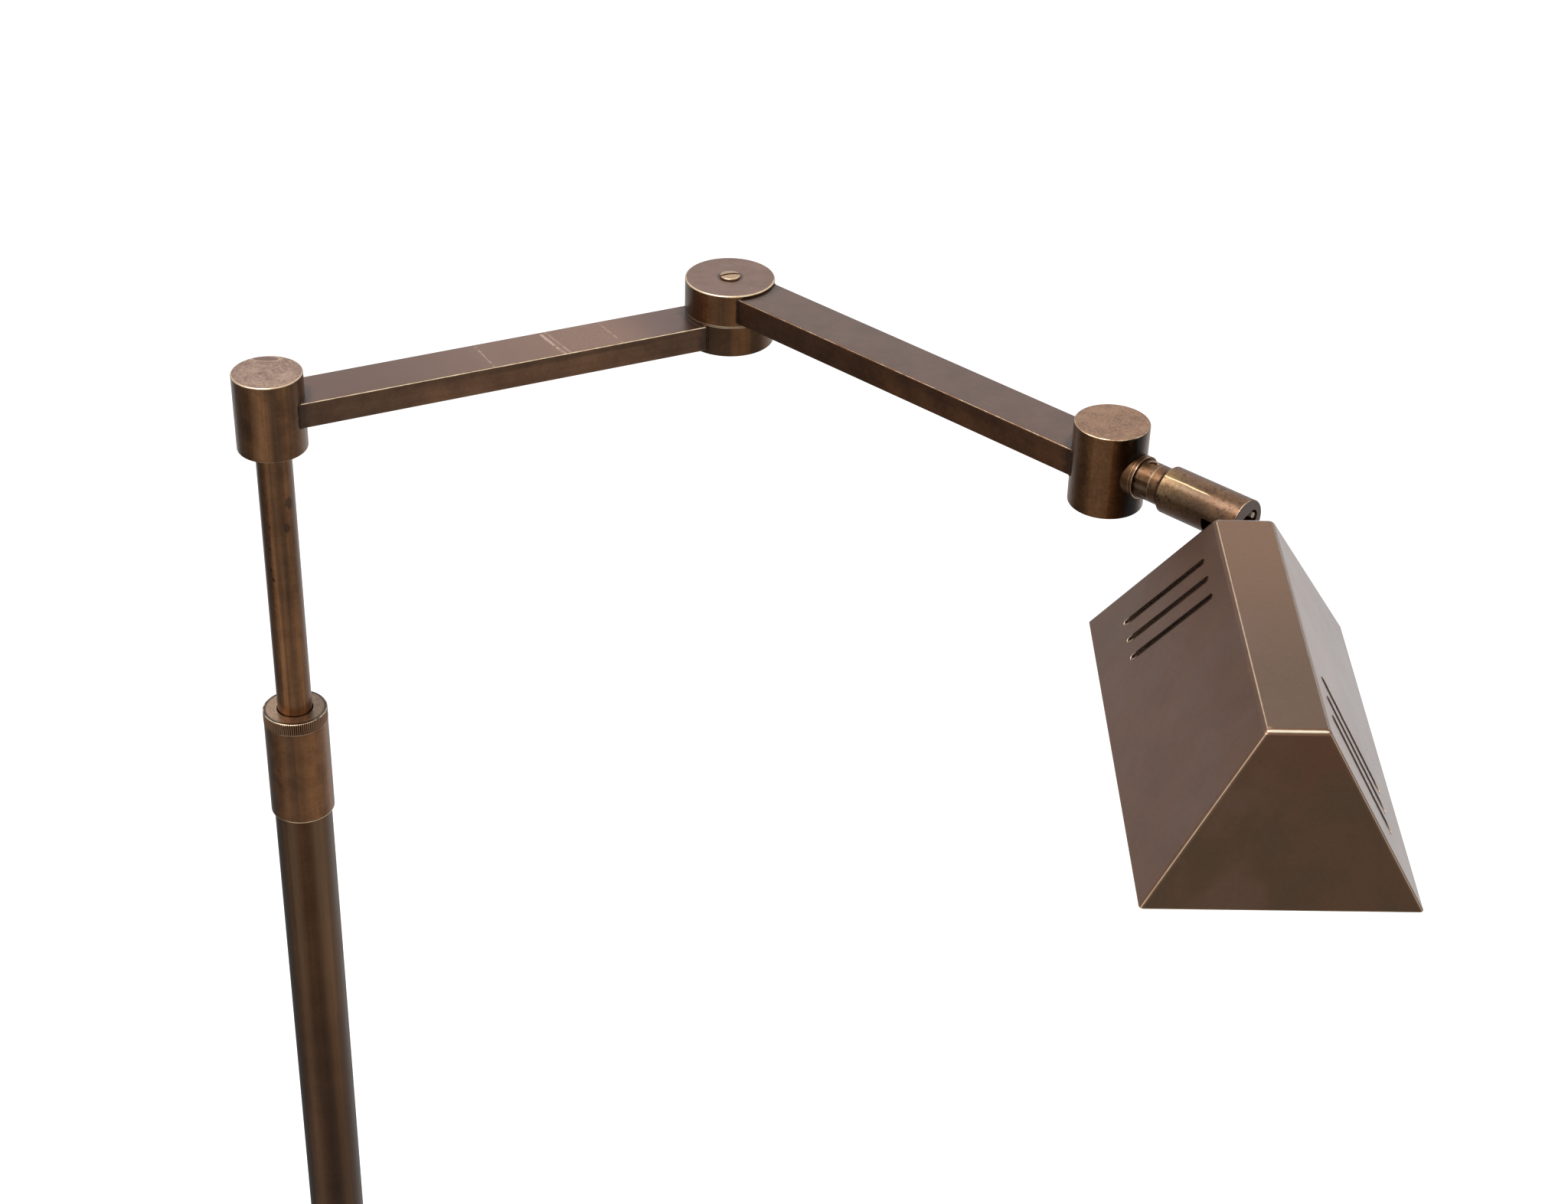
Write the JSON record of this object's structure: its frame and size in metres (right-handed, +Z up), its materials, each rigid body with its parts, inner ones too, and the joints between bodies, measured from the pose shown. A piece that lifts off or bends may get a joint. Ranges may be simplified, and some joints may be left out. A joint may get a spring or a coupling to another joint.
{
  "type": "swing arm floor lamp",
  "caption": "Floor lamp with a weighted round base, a sliding mast with a knurled lock ring, two hinged flat arms and a tilting tent shaped shade.",
  "frame": {"origin": "centre of the base's underside, on the floor", "axes": "+Z up along the pole; at rest the arms reach out towards +X and the shade's mouth faces down"},
  "size_m": [0.5958, 0.4047, 1.0559],
  "materials": {
    "aged_brass": "brown patina, mottled, worn bright at the edges",
    "satin_brass": "smooth satin brown patina, soft mottling",
    "turned_brass": "turned, uncoated",
    "iron": "as cast, painted black",
    "felt": "dark green pressed felt",
    "steel": "zinc plated",
    "nylon": "natural nylon",
    "black_rubber": "matt moulded rubber",
    "black_plastic": "moulded, matt",
    "lead_sheath": "cream heat proof sheath",
    "ceramic": "unglazed steatite",
    "bulb_glass": "clear quartz",
    "reflector_sheet": "bright rolled sheet"
  },
  "bodies": {
    "stand": {"base_cover": "aged_brass", "base_weight": "iron", "base_felt": "felt", "cord_grommet": "black_rubber", "pole_tube": "aged_brass", "pole_foot_plug": "turned_brass", "pole_flange": "aged_brass", "pole_nipple": "steel", "nipple_washer": "steel", "nipple_nut": "steel", "collar_sleeve": "aged_brass", "collet_seat": "turned_brass", "clamp_collet": "turned_brass", "switch_case": "black_plastic", "switch_bezel": "aged_brass", "switch_terminal_plate": "black_plastic", "switch_spring": "steel"},
    "lock_ring": {"lock_ring": "aged_brass"},
    "mast": {"mast_rod": "aged_brass", "rod_guide": "nylon", "mast_head": "turned_brass", "thrust_washer": "nylon", "mast_lead": "lead_sheath"},
    "lower_arm": {"lower_hub": "aged_brass", "hub_bush": "turned_brass", "lower_arm_tube": "aged_brass", "lower_knuckle": "aged_brass", "friction_disc": "nylon", "lower_arm_lead": "lead_sheath"},
    "upper_arm": {"upper_knuckle": "aged_brass", "knuckle_screw": "aged_brass", "knuckle_spring_washer": "steel", "knuckle_nut": "steel", "upper_arm_tube": "aged_brass", "upper_hub": "aged_brass", "upper_hub_plug": "aged_brass", "stub_ring": "aged_brass", "head_stub": "aged_brass", "stub_seal": "black_rubber", "upper_arm_lead": "lead_sheath"},
    "head": {"head_sleeve": "aged_brass", "sleeve_grub_screw": "steel", "head_pivot_screw": "steel", "head_lead": "lead_sheath"},
    "shade": {"shade_lug": "satin_brass", "pivot_washers": "nylon", "lug_washer": "turned_brass", "lug_nut": "steel", "shade_shell": "satin_brass", "reflector": "reflector_sheet", "lamp_bracket": "steel", "bracket_studs": "steel", "bracket_nuts": "steel", "rear_lampholder": "ceramic", "front_lampholder": "ceramic", "holder_screws": "steel", "bulb": "bulb_glass"},
    "switch_button": {"switch_button": "aged_brass"}
  },
  "joints": [
    {"name": "mast_slide", "type": "slide", "parent": "stand", "child": "mast", "axis": [0, 0, 1], "range_m": [-0.13, 0.22]},
    {"name": "lock_ring_turn", "type": "hinge", "parent": "stand", "child": "lock_ring", "pos_m": [0, 0, 0.862], "axis": [0, 0, 1], "range_deg": [0, 180]},
    {"name": "lower_arm_swing", "type": "hinge", "parent": "mast", "child": "lower_arm", "pos_m": [0, 0, 1.02189], "axis": [0, 0, 1], "range_deg": [-170, 170]},
    {"name": "upper_arm_swing", "type": "hinge", "parent": "lower_arm", "child": "upper_arm", "pos_m": [0.19643, 0.09751, 1.02895], "axis": [0, 0, 1], "range_deg": [-75, 214]},
    {"name": "head_roll", "type": "hinge", "parent": "upper_arm", "child": "head", "pos_m": [0.38785, -0.07943, 1.03691], "axis": [0.7343, -0.6788, 0], "range_deg": [-120, 120]},
    {"name": "head_swing", "type": "hinge", "parent": "head", "child": "shade", "pos_m": [0.40324, -0.09493, 1.03657], "axis": [-0.2322, -0.2512, 0.9397], "range_deg": [-45, 45]},
    {"name": "foot_switch_press", "type": "slide", "parent": "stand", "child": "switch_button", "axis": [0, 0, -1], "range_m": [0, 0.004], "stiffness_N_per_m": 800, "springref_m": -0.002, "deforming": ["switch_spring"]}
  ]
}
